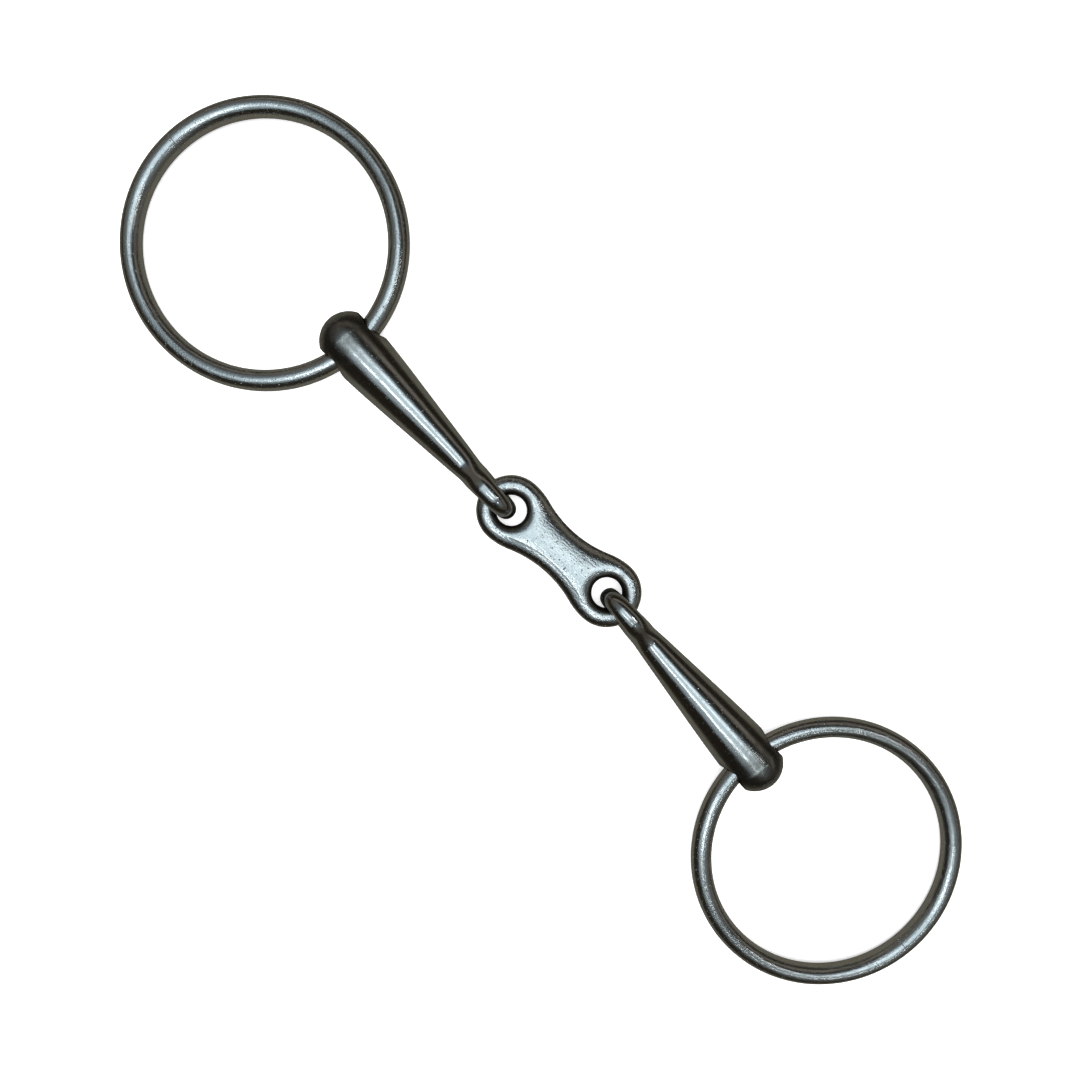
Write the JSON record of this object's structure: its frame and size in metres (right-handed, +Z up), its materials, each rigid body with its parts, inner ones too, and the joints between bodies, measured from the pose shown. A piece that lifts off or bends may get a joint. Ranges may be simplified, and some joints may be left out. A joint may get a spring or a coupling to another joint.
{
  "type": "snaffle bit",
  "caption": "Loose-ring, double-jointed snaffle bit for a horse's mouth: tapered cannons hook into a flat centre link and carry round cheek rings for cheekpieces and reins.",
  "frame": {"origin": "on the surface the bit lies on, under the middle of the whole bit's box as it lies", "axes": "+X along the centre link towards the right cannon and ring, +Y across the bit, +Z up from the surface"},
  "size_m": [0.2737, 0.0932, 0.0156],
  "materials": {
    "link_steel": "polished stainless steel, worn and finely pitted",
    "cannon_steel": "polished stainless steel, fine random scratches",
    "ring_steel": "polished stainless steel, fine scratches round the wire"
  },
  "bodies": {
    "french_link": {"french_link": "link_steel"},
    "left_cannon": {"left_cannon": "cannon_steel"},
    "right_cannon": {"right_cannon": "cannon_steel"},
    "left_ring": {"left_ring": "ring_steel"},
    "right_ring": {"right_ring": "ring_steel"}
  },
  "joints": [
    {"name": "left_cannon_fold", "type": "hinge", "parent": "french_link", "child": "left_cannon", "pos_m": [-0.02161, 0.00177, 0.0073], "axis": [0.1076, 0.9936, 0.0349], "range_deg": [-45, 45]},
    {"name": "left_ring_swing", "type": "hinge", "parent": "left_cannon", "child": "left_ring", "pos_m": [-0.07013, 0.00704, 0.0073], "axis": [0.1076, 0.9936, 0.0349], "range_deg": [-95, 95]},
    {"name": "right_cannon_fold", "type": "hinge", "parent": "french_link", "child": "right_cannon", "pos_m": [0.02149, 0.00074, 0.0073], "axis": [-0.1381, -0.988, 0.0698], "range_deg": [-45, 45]},
    {"name": "right_ring_swing", "type": "hinge", "parent": "right_cannon", "child": "right_ring", "pos_m": [0.07021, -0.00611, 0.0073], "axis": [-0.1381, -0.988, 0.0698], "range_deg": [-95, 95]}
  ]
}
